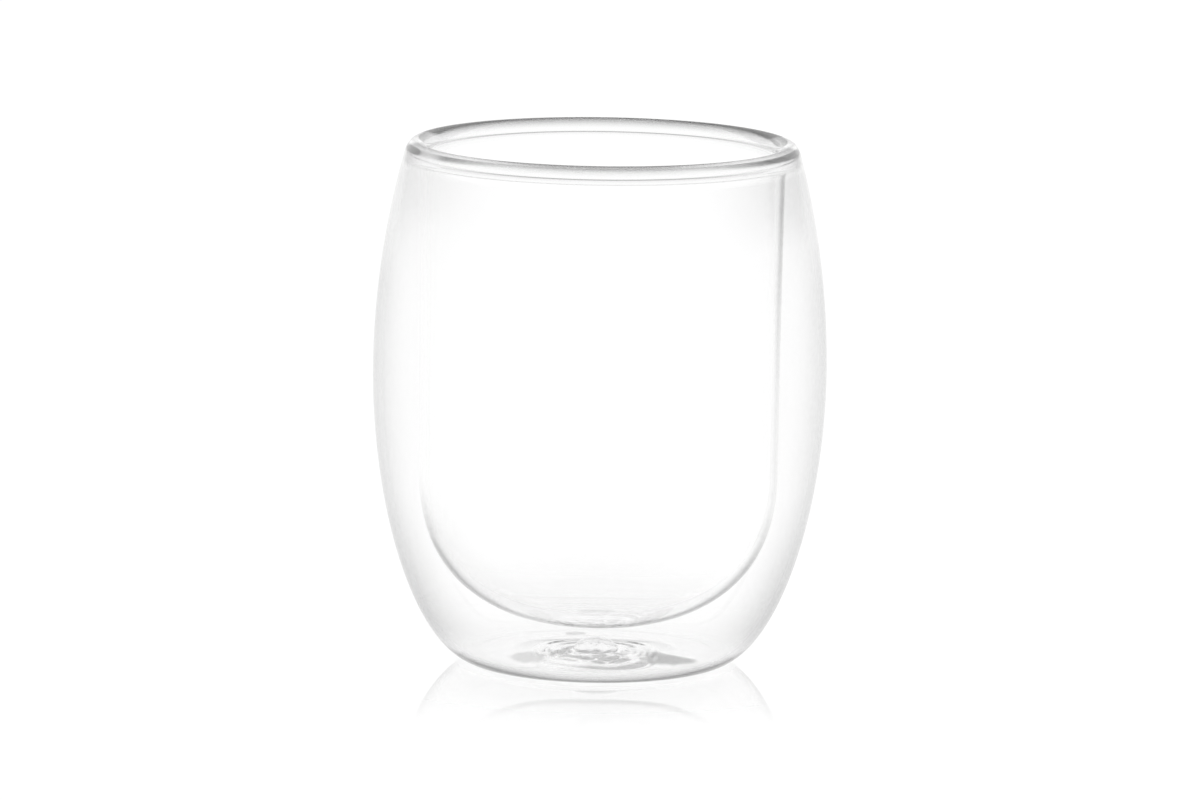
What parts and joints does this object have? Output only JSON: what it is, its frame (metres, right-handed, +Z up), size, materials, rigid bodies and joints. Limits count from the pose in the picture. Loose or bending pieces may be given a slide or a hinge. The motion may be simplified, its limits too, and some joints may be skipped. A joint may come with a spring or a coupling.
{
  "type": "double walled glass cup",
  "caption": "Free-standing double walled drinking glass: a round-bottomed inner bowl hung by its fused lip inside a barrel-shaped outer shell with a sealed vent in the base.",
  "frame": {"origin": "centre of the ring that the cup stands on, on the table", "axes": "+Z up along the cup's axis towards its mouth; X and Y are alike because the cup is round"},
  "size_m": [0.0804, 0.0804, 0.093],
  "materials": {
    "shell_glass": "clear, fire polished",
    "bowl_glass": "clear, fire polished",
    "lip_glass": "clear, flame rounded",
    "seal_glass": "clear, flame melted"
  },
  "bodies": {
    "root": {"outer_shell": "shell_glass", "inner_bowl": "bowl_glass", "fused_lip": "lip_glass", "vent_seal": "seal_glass"}
  },
  "joints": []
}
